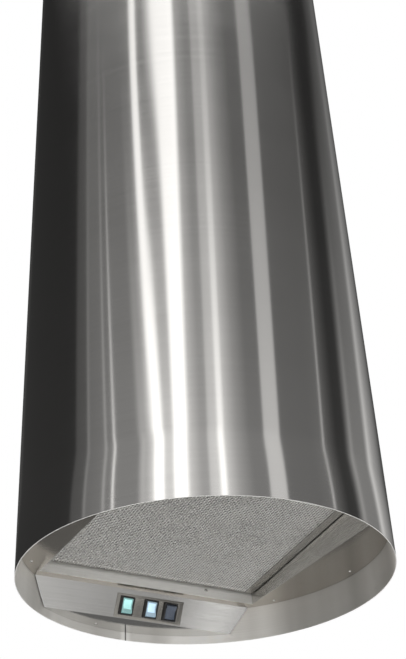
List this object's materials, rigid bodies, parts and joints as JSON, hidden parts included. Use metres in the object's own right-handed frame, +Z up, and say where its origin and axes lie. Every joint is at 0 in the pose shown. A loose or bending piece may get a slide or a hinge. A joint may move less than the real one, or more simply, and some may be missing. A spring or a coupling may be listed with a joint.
{
  "type": "island range hood",
  "caption": "Hanging round steel kitchen hood: tube with a recessed swing-down mesh filter, sloped rocker-switch panel, lamps, blower, damper and duct to the ceiling.",
  "frame": {"origin": "centre of the tube's lower rim, at the lowest level of the hood", "axes": "+Z up along the tube's axis, +Y towards the switch panel inside the rim, -Y towards the user who faces that panel, +X to that user's right"},
  "size_m": [0.6038, 0.6038, 1.35],
  "materials": {
    "tube_steel": "brushed around the tube",
    "soffit_steel": "brushed",
    "surround_steel": "brushed",
    "panel_steel": "brushed",
    "plate_steel": "fine brushed",
    "rivet_steel": "satin",
    "zinc_sheet": "galvanised",
    "zinc_frame": "galvanised",
    "fastener_zinc": "zinc plated",
    "filter_aluminium": "mill",
    "mesh_aluminium": "bright",
    "core_aluminium": "bright",
    "magnet": "dark",
    "switch_black": "fine matt",
    "rocker_green": "translucent, lit",
    "rocker_blue": "translucent, lit",
    "rocker_dark": "translucent, unlit",
    "switch_lamp": "clear",
    "terminal_brass": "plated",
    "lamp_chrome": "satin",
    "lamp_glass": "frosted",
    "lamp_can": "plain",
    "lamp_module": "white",
    "motor_paint": "satin grey",
    "motor_bracket": "zinc",
    "rubber": "matt",
    "box_plastic": "matt",
    "block_plastic": "matt",
    "capacitor": "white",
    "cable_black": "matt"
  },
  "bodies": {
    "hood": {"outer_tube": "tube_steel", "ceiling_ring": "zinc_frame", "tube_screws": "fastener_zinc", "hanger_posts": "zinc_frame", "post_bolts": "fastener_zinc", "soffit_plate": "soffit_steel", "wall_tabs": "zinc_frame", "rivets": "rivet_steel", "surround_back": "surround_steel", "surround_front": "surround_steel", "surround_left": "surround_steel", "surround_right": "surround_steel", "chamber_box": "zinc_sheet", "filter_pivots": "fastener_zinc", "filter_stops": "zinc_frame", "catch_magnets": "magnet", "control_panel": "panel_steel", "switch_plate": "plate_steel", "switch_housing_light": "switch_black", "switch_housing_fan": "switch_black", "switch_housing_speed": "switch_black", "switch_terminals": "terminal_brass", "switch_lamps": "switch_lamp", "lamp_bezels": "lamp_chrome", "lamp_lenses": "lamp_glass", "lamp_cans": "lamp_can", "lamp_modules": "lamp_module", "scroll_wrap": "zinc_sheet", "scroll_side_left": "zinc_sheet", "scroll_side_right": "zinc_sheet", "inlet_rings": "zinc_sheet", "motor_body": "motor_paint", "motor_bracket": "motor_bracket", "motor_grommets": "rubber", "outlet_spigot": "zinc_sheet", "damper_rod": "fastener_zinc", "exhaust_duct": "zinc_sheet", "duct_clamp": "fastener_zinc", "terminal_box": "box_plastic", "terminal_lid": "box_plastic", "terminal_block": "block_plastic", "run_capacitor": "capacitor", "cable_gland": "box_plastic", "switch_loom": "cable_black", "lamp_loom": "cable_black", "motor_lead": "cable_black", "grommets": "rubber"},
    "filter": {"filter_frame": "filter_aluminium", "filter_mesh_lower": "mesh_aluminium", "filter_mesh_upper": "mesh_aluminium", "filter_core": "core_aluminium", "pull_eyes": "filter_aluminium"},
    "pull_ring": {"pull_ring": "fastener_zinc"},
    "rocker_light": {"rocker_light": "rocker_green"},
    "rocker_fan": {"rocker_fan": "rocker_blue"},
    "rocker_speed": {"rocker_speed": "rocker_dark"},
    "impeller": {"impeller": "zinc_frame", "motor_shaft": "fastener_zinc"},
    "damper_front": {"damper_flap_front": "zinc_sheet"},
    "damper_back": {"damper_flap_back": "zinc_sheet"}
  },
  "joints": [
    {"name": "filter_drop", "type": "hinge", "parent": "hood", "child": "filter", "pos_m": [0, 0.18752, 0.08157], "axis": [1, 0, 0], "range_deg": [0, 84]},
    {"name": "pull_ring_swing", "type": "hinge", "parent": "filter", "child": "pull_ring", "pos_m": [0, -0.18403, 0.10961], "axis": [1, 0, 0], "range_deg": [-15, 80]},
    {"name": "light_switch", "type": "hinge", "parent": "hood", "child": "rocker_light", "pos_m": [-0.0315, 0.22767, 0.03439], "axis": [1, 0, 0], "range_deg": [0, 16]},
    {"name": "fan_switch", "type": "hinge", "parent": "hood", "child": "rocker_fan", "pos_m": [0.0145, 0.22767, 0.03439], "axis": [1, 0, 0], "range_deg": [0, 16]},
    {"name": "speed_switch", "type": "hinge", "parent": "hood", "child": "rocker_speed", "pos_m": [0.052, 0.22767, 0.03439], "axis": [-1, 0, 0], "range_deg": [0, 16]},
    {"name": "impeller_spin", "type": "hinge", "parent": "hood", "child": "impeller", "pos_m": [0, 0, 0.27], "axis": [1, 0, 0], "continuous": true},
    {"name": "damper_front_swing", "type": "hinge", "parent": "hood", "child": "damper_front", "pos_m": [0, 0.057, 0.48], "axis": [-1, 0, 0], "range_deg": [0, 75]},
    {"name": "damper_back_swing", "type": "hinge", "parent": "hood", "child": "damper_back", "pos_m": [0, 0.057, 0.48], "axis": [1, 0, 0], "range_deg": [0, 75]}
  ]
}
